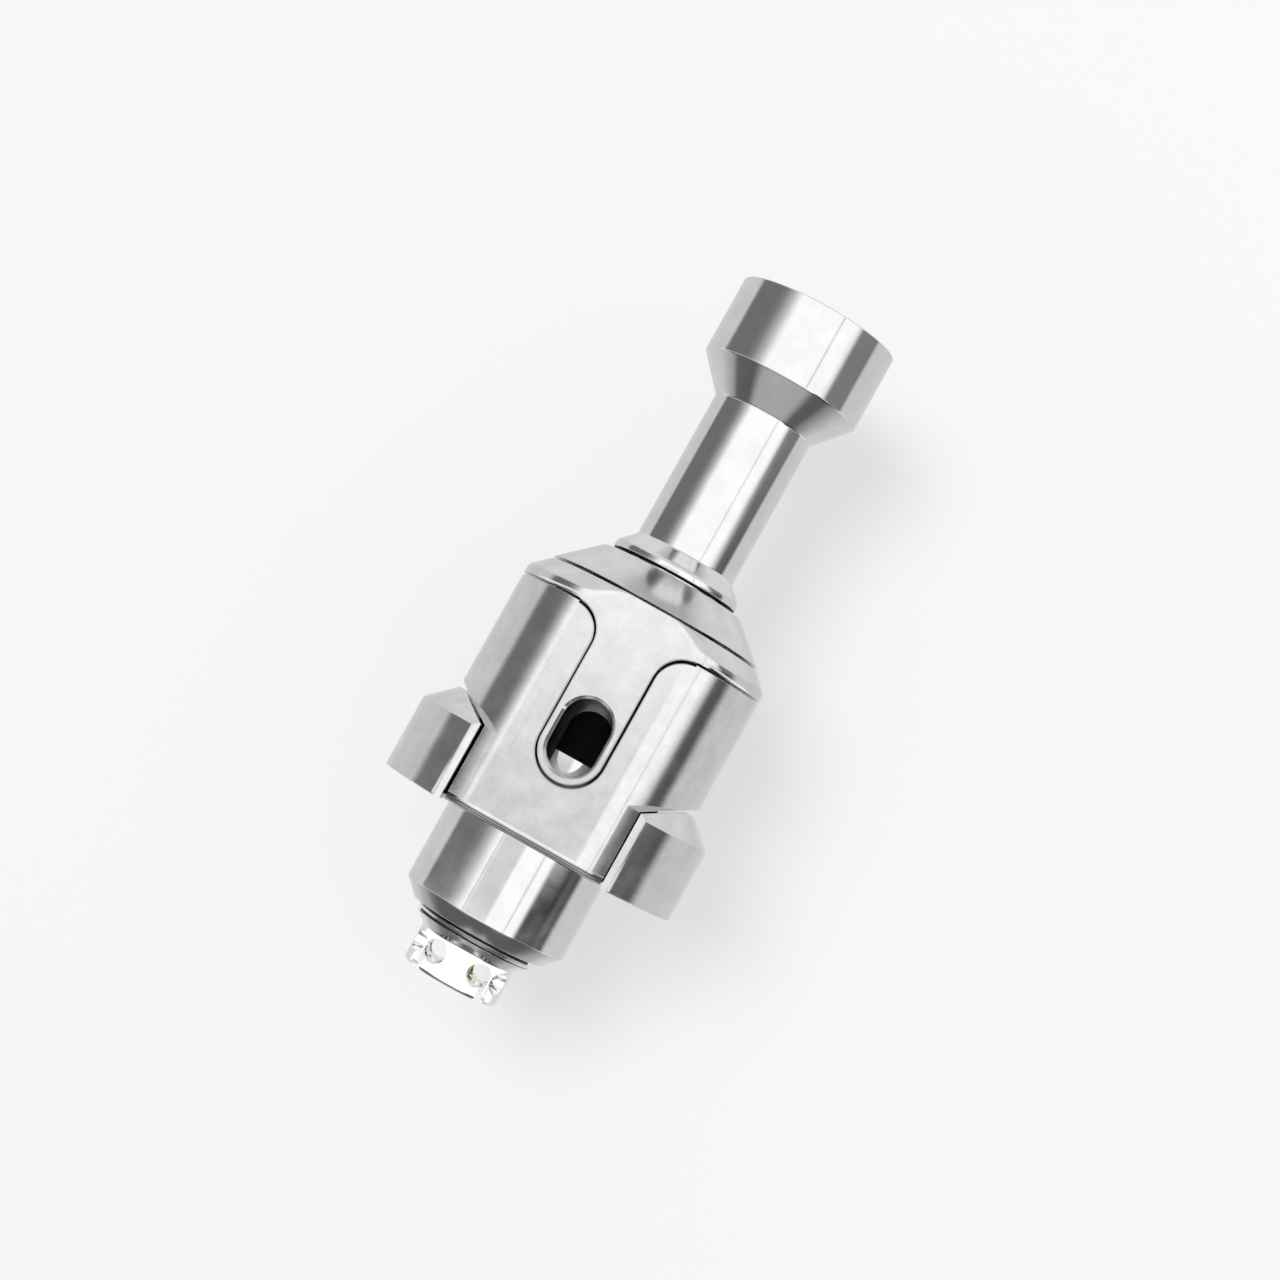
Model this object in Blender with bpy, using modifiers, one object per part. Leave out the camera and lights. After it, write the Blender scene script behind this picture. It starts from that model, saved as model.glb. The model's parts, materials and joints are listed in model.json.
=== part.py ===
"""A rebuildable atomiser bridge for a box tank, modelled as the loose pieces it is assembled from.

Frame: +Z up along the axis that every turned piece shares, the origin at the centre of the crown's
lower face, the milled flats facing -Y and +Y, the liquid port in the front one (-Y), and the two
wings on +X and -X.
All dimensions are in millimetres here and are turned into metres where the meshes are made.
"""

import math

import bmesh
import bpy
from mathutils import Matrix

MM = 0.001
STEPS = 36                 # facets round every turned piece, so that nested walls stay parallel
RING_SECTION_STEPS = 6
ARC_STEPS = 6
MERGE = 1e-6
GAP = 0.05                 # between neighbours that touch on the real object
REACH = 20.0               # half length of a cutter that passes right through

# Heights, from the crown's lower face upwards
CROWN_TOP = 1.8
CONE_TOP = 2.45
BASE_BOTTOM = 2.75
BASE_CHAMFER_TOP = 3.6
SLEEVE_BOTTOM = 7.95
RING_TOP = 9.9
WING_EDGE = 11.5
WING_RIDGE = 13.0
SLEEVE_TOP = 19.45
SHOULDER_EDGE = 19.98
CHAMBER_TOP = 20.9
CAP_TOP = 22.7
LIP_BOTTOM = 22.88
LIP_TOP = 23.1
STEM_BOTTOM = 24.1
STEM_TOP = 32.05
CUP_BOTTOM = 33.8
CUP_TOP = 37.85

# Radii of the outer surfaces
CROWN_R = 2.55
THREAD_R = 3.15
BASE_R = 4.38
SPIGOT_R = 4.0
BARREL_R = 4.95
SLEEVE_BORE_R = 5.0
SLEEVE_R = 6.7
WING_R = 8.02
CHAMBER_TOP_R = 5.82
CAP_TOP_R = 3.9
LIP_R = 3.46
STEM_R = 2.7
CUP_R = 4.25
AIRWAY_R = 1.75

# Cap and the chimney's spigot in it
CAP_BORE_R = 2.65
CAP_LEDGE = 20.3
CAP_SPIGOT_R = 4.55
CAP_SPIGOT_BOTTOM = 18.9
CAP_SEAT_R = 4.6
CAP_SEAL = 19.7
UPPER_CHIMNEY_SEAL = 22.1
LOWER_CHIMNEY_SEAL = 21.1

# Milled features of the chamber, the sleeve and the wings
FLAT_Y = 5.58
TONGUE_HALF = 1.66
TONGUE_BOTTOM = 11.3
TONGUE_FLARE_R = 1.55
PORT_HALF = 1.24
PORT_BOTTOM = 11.73
PORT_TOP = 15.62
WING_SIDE_X = 4.35
WING_SIDE_Y = 5.1
WING_SIDE_SPREAD = 0.23    # how far a wing's side leans outwards for each millimetre of depth
WING_SLOPE_START = 11.95
WING_SLOPE = 0.6

# Base, deck and gate
CHAMBER_BORE_R = 4.05
BASE_GROOVE_R = 3.62
LOWER_BASE_SEAL = 10.75
UPPER_BASE_SEAL = 16.85
GATE_EDGE = 12.65
GATE_HALF = 1.35
GATE_TOP = 15.9
SKIRT_TOP = 17.9
SKIRT_BORE_R = 3.3
FLOOR_BOTTOM = 7.2
DECK = 10.2
PIN_BORE_R = 3.25
PLENUM_BOTTOM = 6.0
PLENUM_R = 3.0
DECK_BORE_R = 1.35
AIR_HOLE_Y = 2.3
AIR_HOLE_R = 0.6
POST_X = 2.15
POST_HALF_X = 0.65
POST_HALF_Y = 1.1
POST_TOP = 14.0
POST_PLATE_TOP = 10.65
FOOT_TOP = 11.3
SPIGOT_HOLE_R = 0.55
SPIGOT_HOLE_BOTTOM = 9.0
CLAMP_BORE_R = 0.45

# Contact and air pin
PIN_R = 0.65
PIN_HOLE_R = 0.7
AIR_PIN_TOP = 5.6
AIR_PIN_BORE_R = 1.5
AIR_PIN_SEAL = 5.0
CROSS_HOLE_R = 0.54
CROSS_HOLE_OFFSET = 1.19
CROSS_HOLE_HEIGHT = 1.08
KEY_SLOT_HALF = 0.35
KEY_SLOT_DEPTH = 0.3

# Rings of round section in square grooves
RING_SECTION_R = 0.2
GROOVE_HALF = 0.25

PARTS = "atomiser_bridge"
CUTTERS = "cutters"


# Tools

def new_collection(name, hidden=False):
    made = bpy.data.collections.new(name)
    made.hide_render = hidden
    bpy.context.scene.collection.children.link(made)
    return made


def new_material(name, colour, roughness, metallic):
    made = bpy.data.materials.new(name)
    made.use_nodes = True
    shader = made.node_tree.nodes["Principled BSDF"]
    shader.inputs["Base Color"].default_value = (*colour, 1.0)
    shader.inputs["Roughness"].default_value = roughness
    shader.inputs["Metallic"].default_value = metallic
    return made


def add_object(name, mesh, finish=None):
    """Link a mesh as a part with its finish, or as a hidden cutter if it has none."""
    made = bpy.data.objects.new(name, mesh)
    if finish:
        mesh.materials.append(bpy.data.materials[finish])
        bpy.data.collections[PARTS].objects.link(made)
    else:
        made.hide_render = True
        made.display_type = "WIRE"
        bpy.data.collections[CUTTERS].objects.link(made)
    return made


def turned(name, outline, finish=None):
    """Turn an outline of (radius, height) points round Z. It runs down the outer side and up the inner
    one; it is a closed loop, unless both its ends are on the axis."""
    solid = outline[0][0] == 0.0
    count = len(outline)
    edges = [(i, i + 1) for i in range(count - 1)]
    if not solid:
        edges.append((count - 1, 0))
    mesh = bpy.data.meshes.new(name)
    mesh.from_pydata([(r * MM, 0.0, z * MM) for r, z in outline], edges, [])
    made = add_object(name, mesh, finish)
    screw = made.modifiers.new("turn", "SCREW")
    screw.axis = "Z"
    screw.steps = STEPS
    screw.render_steps = STEPS
    screw.use_merge_vertices = True
    screw.merge_threshold = MERGE
    screw.use_smooth_shade = False
    return made


def seal(name, groove_r, bore_r, height):
    """A ring of round section, lying between the floor of its groove and the bore it seals."""
    bpy.ops.mesh.primitive_torus_add(
        major_radius=(groove_r + bore_r) / 2 * MM,
        minor_radius=RING_SECTION_R * MM,
        major_segments=STEPS,
        minor_segments=RING_SECTION_STEPS,
        location=(0.0, 0.0, height * MM),
    )
    made = bpy.context.object
    made.name = name
    made.data.name = name
    made.data.materials.append(bpy.data.materials["rubber"])
    made.data.shade_smooth()
    for owner in made.users_collection:
        owner.objects.unlink(made)
    bpy.data.collections[PARTS].objects.link(made)
    return made


def groove(radius, floor_r, height):
    """Points of a square groove in a wall that is passed from the top down."""
    top = height + GROOVE_HALF
    bottom = height - GROOVE_HALF
    return [(radius, top), (floor_r, top), (floor_r, bottom), (radius, bottom)]


def box(name, low, high, finish=None):
    size = [b - a for a, b in zip(low, high)]
    centre = [(a + b) / 2 for a, b in zip(low, high)]
    shape = bmesh.new()
    bmesh.ops.create_cube(shape, size=1.0, matrix=Matrix.Diagonal((*[s * MM for s in size], 1.0)))
    mesh = bpy.data.meshes.new(name)
    shape.to_mesh(mesh)
    shape.free()
    made = add_object(name, mesh, finish)
    made.location = [c * MM for c in centre]
    return made


def rod(name, radius, centre, half_length, axis="Z"):
    """A cylindrical cutter round a line along X, Y or Z."""
    turn = {"X": Matrix.Rotation(math.pi / 2, 4, "Y"), "Y": Matrix.Rotation(math.pi / 2, 4, "X")}
    shape = bmesh.new()
    bmesh.ops.create_cone(
        shape, cap_ends=True, segments=STEPS // 2, radius1=radius * MM, radius2=radius * MM,
        depth=2 * half_length * MM, matrix=turn.get(axis, Matrix.Identity(4)),
    )
    mesh = bpy.data.meshes.new(name)
    shape.to_mesh(mesh)
    shape.free()
    made = add_object(name, mesh)
    made.location = [c * MM for c in centre]
    return made


def plate(name, outline, low, high, upright=False):
    """A flat outline given a thickness. It lies in XY and rises from low to high in Z, or stands upright
    in XZ and reaches from low to high in Y."""
    curve = bpy.data.curves.new(name, "CURVE")
    curve.dimensions = "2D"
    curve.fill_mode = "BOTH"
    curve.extrude = (high - low) / 2 * MM
    line = curve.splines.new("POLY")
    line.points.add(len(outline) - 1)
    for point, (u, v) in zip(line.points, outline):
        point.co = (u * MM, v * MM, 0.0, 1.0)
    line.use_cyclic_u = True
    drawn = bpy.data.objects.new(name, curve)
    bpy.context.scene.collection.objects.link(drawn)
    middle = (low + high) / 2 * MM
    if upright:
        drawn.matrix_world = Matrix.Translation((0.0, middle, 0.0)) @ Matrix.Rotation(math.pi / 2, 4, "X")
    else:
        drawn.matrix_world = Matrix.Translation((0.0, 0.0, middle))
    bpy.context.view_layer.update()
    mesh = bpy.data.meshes.new_from_object(drawn.evaluated_get(bpy.context.evaluated_depsgraph_get()))
    shape = bmesh.new()
    shape.from_mesh(mesh)
    bmesh.ops.remove_doubles(shape, verts=shape.verts, dist=MERGE)
    bmesh.ops.recalc_face_normals(shape, faces=shape.faces)
    shape.to_mesh(mesh)
    shape.free()
    mesh.name = name
    made = add_object(name, mesh)
    made.matrix_world = drawn.matrix_world
    bpy.data.objects.remove(drawn)
    bpy.data.curves.remove(curve)
    return made


def combine(part, tool, operation="DIFFERENCE"):
    step = part.modifiers.new(tool.name, "BOOLEAN")
    step.operation = operation
    step.solver = "EXACT"
    step.object = tool


def cut(part, *tools):
    for tool in tools:
        combine(part, tool)


def arc(centre_u, centre_v, radius, start, end, steps=ARC_STEPS):
    """Points on an arc between two angles in degrees, both ends included."""
    angles = [math.radians(start + (end - start) * i / steps) for i in range(steps + 1)]
    return [(centre_u + radius * math.cos(a), centre_v + radius * math.sin(a)) for a in angles]


# Outlines that two pieces share

def tongue_outline(grow):
    """The chamber's tongue seen from the front: a round foot, straight sides, flares into the shoulder."""
    half = TONGUE_HALF + grow
    flare = TONGUE_FLARE_R - grow
    foot = TONGUE_BOTTOM + TONGUE_HALF
    top = SHOULDER_EDGE - 0.2
    bend = SLEEVE_TOP - TONGUE_FLARE_R
    right = arc(half + flare, bend, flare, 180, 90)
    left = arc(-half - flare, bend, flare, 90, 0)
    edge = SLEEVE_TOP - grow
    right[-1] = (right[-1][0], edge)
    left[0] = (left[0][0], edge)
    return arc(0, foot, half, 180, 360, 2 * ARC_STEPS) + right + [(right[-1][0], top), (left[0][0], top)] + left


def slope_height(x, grow=0.0):
    """Height of the slanted joint between a wing and the sleeve, this far out from the axis."""
    return WING_SLOPE_START + WING_SLOPE * (x - WING_SIDE_X) + grow


def flats():
    """Blocks outside the two milled flats."""
    return [
        box("flat_front", (-REACH, -REACH, -REACH), (REACH, -FLAT_Y, 2 * REACH)),
        box("flat_back", (-REACH, FLAT_Y, -REACH), (REACH, REACH, 2 * REACH)),
    ]


# Pieces, from the top down

def make_chimney():
    spigot_r = 2.6
    floor_r = 2.18
    socket_r = 3.6
    socket_floor = 33.5
    turned("chimney", [
        (CUP_R - 0.1, CUP_TOP),
        (CUP_R, CUP_TOP - 0.1),
        (CUP_R, CUP_BOTTOM),
        (STEM_R, STEM_TOP),
        (STEM_R, STEM_BOTTOM),
        (STEM_R + 0.2, STEM_BOTTOM - 0.4),
        (LIP_R, LIP_TOP),
        (LIP_R, LIP_BOTTOM),
        (spigot_r, LIP_BOTTOM),
        *groove(spigot_r, floor_r, UPPER_CHIMNEY_SEAL),
        *groove(spigot_r, floor_r, LOWER_CHIMNEY_SEAL),
        (spigot_r, CAP_LEDGE + GAP),
        (AIRWAY_R, CAP_LEDGE + GAP),
        (AIRWAY_R, 32.0),
        (socket_r, socket_floor),
        (socket_r, CUP_TOP),
    ], "polished_steel")
    seal("chimney_oring_upper", floor_r, CAP_BORE_R, UPPER_CHIMNEY_SEAL)
    seal("chimney_oring_lower", floor_r, CAP_BORE_R, LOWER_CHIMNEY_SEAL)


def make_top_cap():
    floor_r = 4.13
    throat_r = 1.9
    turned("top_cap", [
        (CAP_TOP_R, CAP_TOP),
        (CHAMBER_TOP_R, CHAMBER_TOP + GAP),
        (CAP_SPIGOT_R, CHAMBER_TOP + GAP),
        *groove(CAP_SPIGOT_R, floor_r, CAP_SEAL),
        (CAP_SPIGOT_R, CAP_SPIGOT_BOTTOM),
        (SPIGOT_R, CAP_SPIGOT_BOTTOM),
        (throat_r, CAP_LEDGE - 0.4),
        (throat_r, CAP_LEDGE),
        (CAP_BORE_R, CAP_LEDGE),
        (CAP_BORE_R, CAP_TOP),
    ], "polished_steel")
    seal("cap_oring", floor_r, CAP_SEAT_R, CAP_SEAL)


def make_chamber():
    seat_bottom = CAP_SPIGOT_BOTTOM - 0.1
    chamber = turned("chamber", [
        (0.0, CHAMBER_TOP),
        (CHAMBER_TOP_R, CHAMBER_TOP),
        (SLEEVE_R, SHOULDER_EDGE),
        (SLEEVE_R, SLEEVE_TOP + GAP),
        (BARREL_R, SLEEVE_TOP + GAP),
        (BARREL_R, RING_TOP + GAP),
        (0.0, RING_TOP + GAP),
    ], "satin_steel")
    tongues = plate("tongues", tongue_outline(0.0), -FLAT_Y - 0.5, FLAT_Y + 0.5, upright=True)
    bore = turned("chamber_bore", [
        (0.0, REACH * 2),
        (CAP_SEAT_R, REACH * 2),
        (CAP_SEAT_R, seat_bottom),
        (CHAMBER_BORE_R, seat_bottom),
        (CHAMBER_BORE_R, 0.0),
        (0.0, 0.0),
    ])
    port_outline = (
        arc(0, PORT_BOTTOM + PORT_HALF, PORT_HALF, 180, 360, 2 * ARC_STEPS)
        + arc(0, PORT_TOP - PORT_HALF, PORT_HALF, 0, 180, 2 * ARC_STEPS)
    )
    port = plate("port", port_outline, -REACH, 0.0, upright=True)
    combine(chamber, tongues, "UNION")
    cut(chamber, bore, port, *flats())


def make_sleeve():
    sleeve = turned("sleeve", [
        (SLEEVE_R, SLEEVE_TOP),
        (SLEEVE_R, SLEEVE_BOTTOM + 0.25),
        (SLEEVE_R - 0.25, SLEEVE_BOTTOM),
        (SLEEVE_BORE_R, SLEEVE_BOTTOM),
        (SLEEVE_BORE_R, SLEEVE_TOP),
    ], "satin_steel")
    notch = plate("tongue_notch", tongue_outline(GAP), -REACH, REACH, upright=True)
    cut(sleeve, notch, *flats())
    near = WING_SIDE_X - GAP
    for side in (1, -1):
        outline = [
            (side * near, 0.0),
            (side * REACH, 0.0),
            (side * REACH, slope_height(REACH, GAP)),
            (side * near, slope_height(near, GAP)),
        ]
        cut(sleeve, plate(f"wing_notch_{side}", outline, -REACH, REACH, upright=True))


def make_locking_ring():
    """A ring round the base's spigot, with wings that pass out through the sleeve's side notches."""
    core_r = BARREL_R - 0.03
    wing_inner_r = SLEEVE_BORE_R + 0.02
    foot_r = SLEEVE_BORE_R - 0.03
    ring_bottom = SLEEVE_BOTTOM + 0.15
    ring = turned("locking_ring", [
        (SLEEVE_R, WING_RIDGE),
        (WING_R, WING_EDGE),
        (WING_R, SLEEVE_BOTTOM),
        (foot_r, SLEEVE_BOTTOM),
        (foot_r, ring_bottom),
        (CHAMBER_BORE_R, ring_bottom),
        (CHAMBER_BORE_R, RING_TOP),
        (wing_inner_r, RING_TOP),
        (wing_inner_r, WING_RIDGE),
    ], "satin_steel")
    spread = WING_SIDE_SPREAD * (REACH - WING_SIDE_Y)
    waist = plate("between_wings", [
        (-WING_SIDE_X, -WING_SIDE_Y),
        (-WING_SIDE_X - spread, -REACH),
        (WING_SIDE_X + spread, -REACH),
        (WING_SIDE_X, -WING_SIDE_Y),
        (WING_SIDE_X, WING_SIDE_Y),
        (WING_SIDE_X + spread, REACH),
        (-WING_SIDE_X - spread, REACH),
        (-WING_SIDE_X, WING_SIDE_Y),
    ], 0.0, REACH)
    core = turned("ring_core", [(0.0, REACH), (core_r, REACH), (core_r, 0.0), (0.0, 0.0)])
    cut(waist, core)
    cut(ring, waist)
    for side in (1, -1):
        near = WING_SIDE_X - 1.0
        outline = [
            (side * near, slope_height(near)),
            (side * REACH, slope_height(REACH)),
            (side * REACH, 2 * REACH),
            (side * near, 2 * REACH),
        ]
        cut(ring, plate(f"wing_slope_{side}", outline, -REACH, REACH, upright=True))


def make_base():
    base = turned("base", [
        (SPIGOT_R, SKIRT_TOP),
        *groove(SPIGOT_R, BASE_GROOVE_R, UPPER_BASE_SEAL),
        *groove(SPIGOT_R, BASE_GROOVE_R, LOWER_BASE_SEAL),
        (SPIGOT_R, SLEEVE_BOTTOM + 0.1),
        (BASE_R, SLEEVE_BOTTOM + 0.1),
        (BASE_R, BASE_CHAMFER_TOP),
        (BASE_R - 0.85, BASE_BOTTOM),
        (PIN_BORE_R, BASE_BOTTOM),
        (PIN_BORE_R, PLENUM_BOTTOM),
        (PLENUM_R, PLENUM_BOTTOM),
        (PLENUM_R, FLOOR_BOTTOM),
        (DECK_BORE_R, FLOOR_BOTTOM),
        (DECK_BORE_R, DECK),
        (SKIRT_BORE_R, DECK),
        (SKIRT_BORE_R, SKIRT_TOP),
    ], "polished_steel")
    cut(base, box("gate", (-GATE_HALF, -REACH, GATE_EDGE), (GATE_HALF, 0.0, GATE_TOP)))
    for side, name in ((-1, "front"), (1, "back")):
        cut(base, rod(f"air_hole_{name}", AIR_HOLE_R, (0, side * AIR_HOLE_Y, DECK - 1), 3))
    cut(base, rod("post_hole", SPIGOT_HOLE_R, (-POST_X, 0, SPIGOT_HOLE_BOTTOM + 1), 1))
    seal("base_oring_upper", BASE_GROOVE_R, CHAMBER_BORE_R, UPPER_BASE_SEAL)
    seal("base_oring_lower", BASE_GROOVE_R, CHAMBER_BORE_R, LOWER_BASE_SEAL)


def make_air_jets():
    shank_r = AIR_HOLE_R - GAP
    flange_r = 0.8
    for side, name in ((-1, "front"), (1, "back")):
        jet = turned(f"air_jet_{name}", [
            (flange_r, DECK + 0.3),
            (flange_r, DECK + GAP),
            (shank_r, DECK + GAP),
            (shank_r, DECK - 1.0),
            (0.3, DECK - 1.0),
            (0.3, DECK + 0.3),
        ], "polished_steel")
        jet.location.y = side * AIR_HOLE_Y * MM


def make_insulators():
    turned("pin_insulator", [
        (DECK_BORE_R - GAP, DECK),
        (DECK_BORE_R - GAP, FLOOR_BOTTOM - GAP),
        (1.9, FLOOR_BOTTOM - GAP),
        (1.9, FLOOR_BOTTOM - 0.6),
        (PIN_HOLE_R, FLOOR_BOTTOM - 0.6),
        (PIN_HOLE_R, DECK),
    ], "peek")
    pad = box("post_insulator", (-1.15, -1.25, DECK + GAP), (2.9, 1.25, POST_PLATE_TOP), "peek")
    cut(pad, rod("pad_hole", PIN_HOLE_R, (0, 0, DECK), 2))


def make_posts():
    foot = POST_PLATE_TOP + GAP
    outer = POST_X + POST_HALF_X
    inner = POST_X - POST_HALF_X
    positive = box("positive_post", (inner, -POST_HALF_Y, foot), (outer, POST_HALF_Y, POST_TOP), "brass")
    step = box("post_foot", (-1.0, -POST_HALF_Y, foot), (inner + 0.3, POST_HALF_Y, FOOT_TOP))
    combine(positive, step, "UNION")
    cut(positive, rod("foot_hole", PIN_HOLE_R, (0, 0, foot), 2))
    negative = box(
        "negative_post", (-outer, -POST_HALF_Y, DECK + GAP), (-inner, POST_HALF_Y, POST_TOP), "polished_steel"
    )
    spigot = rod("post_spigot", SPIGOT_HOLE_R - GAP, (-POST_X, 0, DECK - 0.2), 0.8)
    combine(negative, spigot, "UNION")
    for side, post in ((1, positive), (-1, negative)):
        cut(post, rod(f"clamp_hole_{side}", CLAMP_BORE_R, (side * POST_X, 0, POST_TOP), 1.6))


def make_clamps():
    plate_bottom = POST_TOP + GAP
    plate_top = plate_bottom + 0.3
    head_bottom = plate_top + GAP
    head_top = head_bottom + 0.5
    head_r = 0.6
    for side, name in ((1, "positive"), (-1, "negative")):
        x = side * POST_X
        clamp = box(
            f"clamp_plate_{name}",
            (x - POST_HALF_X, -1.0, plate_bottom), (x + POST_HALF_X, 1.0, plate_top), "polished_steel",
        )
        cut(clamp, rod(f"plate_hole_{name}", CLAMP_BORE_R, (x, 0, plate_bottom), 1))
        screw = turned(f"clamp_screw_{name}", [
            (0.0, head_top),
            (head_r, head_top),
            (head_r, head_bottom),
            (CLAMP_BORE_R - GAP, head_bottom),
            (CLAMP_BORE_R - GAP, POST_TOP - 1.4),
            (0.0, POST_TOP - 1.4),
        ], "polished_steel")
        screw.location.x = x * MM
        cut(screw, box(f"slot_{name}", (x - 1, -0.1, head_top - 0.25), (x + 1, 0.1, head_top + 1)))


def make_positive_pin():
    turned("positive_pin", [
        (0.0, FOOT_TOP),
        (PIN_R, FOOT_TOP),
        (PIN_R, 0.5),
        (0.95, 0.4),
        (0.95, 0.15),
        (0.8, 0.05),
        (0.0, 0.05),
    ], "brass")


def make_air_pin():
    """The crown, its cone and the thread above it, bored through round the contact."""
    floor_r = 2.8
    edge = 0.12
    pin = turned("air_pin", [
        (THREAD_R, AIR_PIN_TOP),
        *groove(THREAD_R, floor_r, AIR_PIN_SEAL),
        (THREAD_R, CONE_TOP),
        (CROWN_R, CROWN_TOP),
        (CROWN_R, edge),
        (CROWN_R - edge, 0.0),
        (AIR_PIN_BORE_R, 0.0),
        (AIR_PIN_BORE_R, AIR_PIN_TOP),
    ], "polished_steel")
    for side in (1, -1):
        offset = side * CROSS_HOLE_OFFSET
        cut(
            pin,
            rod(f"hole_along_y_{side}", CROSS_HOLE_R, (offset, 0, CROSS_HOLE_HEIGHT), 4, "Y"),
            rod(f"hole_along_x_{side}", CROSS_HOLE_R, (0, offset, CROSS_HOLE_HEIGHT), 4, "X"),
        )
        slot = box(
            f"key_slot_{side}", (-REACH, -KEY_SLOT_HALF, -REACH), (REACH, KEY_SLOT_HALF, KEY_SLOT_DEPTH)
        )
        slot.rotation_euler.z = side * math.pi / 4
        cut(pin, slot)
    seal("air_pin_oring", floor_r, PIN_BORE_R, AIR_PIN_SEAL)


def gather(name, names):
    """An empty on the axis that carries the pieces which move together."""
    frame = bpy.data.objects.new(name, None)
    bpy.data.collections[PARTS].objects.link(frame)
    for piece in names:
        bpy.data.objects[piece].parent = frame


def main():
    for old in list(bpy.data.objects):
        bpy.data.objects.remove(old)
    new_collection(PARTS)
    new_collection(CUTTERS, hidden=True)
    new_material("polished_steel", (0.78, 0.78, 0.78), 0.15, 1.0)
    new_material("satin_steel", (0.72, 0.72, 0.72), 0.3, 1.0)
    new_material("brass", (0.83, 0.62, 0.28), 0.25, 1.0)
    new_material("rubber", (0.03, 0.03, 0.03), 0.6, 0.0)
    new_material("peek", (0.62, 0.48, 0.32), 0.5, 0.0)
    make_chimney()
    make_top_cap()
    make_chamber()
    make_sleeve()
    make_locking_ring()
    make_base()
    make_air_jets()
    make_insulators()
    make_posts()
    make_clamps()
    make_positive_pin()
    make_air_pin()
    gather("barrel", ["chamber", "sleeve", "locking_ring"])
    gather("cap", ["top_cap", "cap_oring"])
    gather("stem", ["chimney", "chimney_oring_upper", "chimney_oring_lower"])
    gather("core", [
        "base", "base_oring_upper", "base_oring_lower", "air_jet_front", "air_jet_back", "pin_insulator",
        "post_insulator", "positive_post", "negative_post", "positive_pin",
    ])
    gather("air_control", ["air_pin", "air_pin_oring"])
    gather("clamps", [
        "clamp_plate_positive", "clamp_plate_negative", "clamp_screw_positive", "clamp_screw_negative",
    ])


main()
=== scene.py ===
"""A rebuildable atomiser bridge in turned and milled stainless steel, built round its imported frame.

Run as a script, it makes every visible piece at its fine finish, the pale studio and the camera. The
pieces' own lengths are given in millimetres and become metres where a mesh is made.
"""

import json
import math

import bmesh
import bpy
from bpy.props import FloatProperty, FloatVectorProperty, PointerProperty
from mathutils import Matrix, Vector

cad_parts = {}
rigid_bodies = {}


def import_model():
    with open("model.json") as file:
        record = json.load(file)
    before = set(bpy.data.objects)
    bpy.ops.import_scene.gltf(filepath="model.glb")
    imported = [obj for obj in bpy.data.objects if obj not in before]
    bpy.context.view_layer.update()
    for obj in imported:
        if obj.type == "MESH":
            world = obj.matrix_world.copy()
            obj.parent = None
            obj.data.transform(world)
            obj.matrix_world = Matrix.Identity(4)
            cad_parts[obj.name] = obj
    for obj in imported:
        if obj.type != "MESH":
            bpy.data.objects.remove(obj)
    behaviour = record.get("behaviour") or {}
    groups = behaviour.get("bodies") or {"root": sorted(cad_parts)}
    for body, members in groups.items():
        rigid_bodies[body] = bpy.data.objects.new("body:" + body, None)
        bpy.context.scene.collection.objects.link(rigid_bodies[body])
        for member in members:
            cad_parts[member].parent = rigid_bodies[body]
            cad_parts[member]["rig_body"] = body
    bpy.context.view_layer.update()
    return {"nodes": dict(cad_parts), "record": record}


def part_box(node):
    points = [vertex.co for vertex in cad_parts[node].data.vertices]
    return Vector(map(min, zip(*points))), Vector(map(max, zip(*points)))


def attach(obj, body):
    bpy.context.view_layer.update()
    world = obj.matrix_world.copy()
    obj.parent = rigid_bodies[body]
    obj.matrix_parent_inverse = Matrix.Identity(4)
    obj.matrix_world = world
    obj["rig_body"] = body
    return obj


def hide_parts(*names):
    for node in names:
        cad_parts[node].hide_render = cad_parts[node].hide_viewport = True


bl_info = {
    "name": "Atomiser Bridge",
    "version": (1, 0, 0),
    "blender": (4, 5, 0),
    "location": "View3D > Sidebar > Bridge",
    "description": "Builds a turned stainless atomiser bridge round its frame",
    "category": "Add Mesh",
}

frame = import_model()

MM = 0.001
TURN_STEPS = 192           # facets round a turned piece
FINE_TURN_STEPS = 96       # facets round a small or hidden one
CORNER_STEPS = 4
MERGE = 1e-7               # metres between points that are one
RING_DEPTH = 0.000004      # metres from the top to the foot of a tool's ring
REACH = 30.0               # a cutter reaches this far past the part
GAP = 0.05                 # running gap between neighbours
NEAR = 0.02                # a face this close to a wall belongs to it
VIEW_TURN = 2.7            # degrees the camera stands round from the front
VIEW_ROLL = 29.2           # degrees the camera leans
AIM_HEIGHT = 19.41         # where on the axis it looks
CAMERA_HEIGHT = 13.35
CAMERA_DISTANCE = 125.0


def extent(node):
    """A node's lowest and highest corners in millimetres."""
    low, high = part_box(node)
    return low / MM, high / MM


CHIMNEY_LOW, CHIMNEY_HIGH = extent("chimney")
CAP_LOW, CAP_HIGH = extent("top_cap")
CHAMBER_LOW, CHAMBER_HIGH = extent("chamber")
SLEEVE_LOW, SLEEVE_HIGH = extent("sleeve")
WINGS_LOW, WINGS_HIGH = extent("locking_ring")
BASE_LOW, BASE_HIGH = extent("base")
PIN_LOW, PIN_HIGH = extent("air_pin")
CONTACT_LOW, CONTACT_HIGH = extent("positive_pin")


def length(name, description, default):
    return FloatProperty(name=name, description=description, default=default, min=0.0, precision=3)


def colour(name, description, default):
    return FloatVectorProperty(
        name=name, description=description, default=default, subtype="COLOR", size=3, min=0.0, max=1.0
    )


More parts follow.
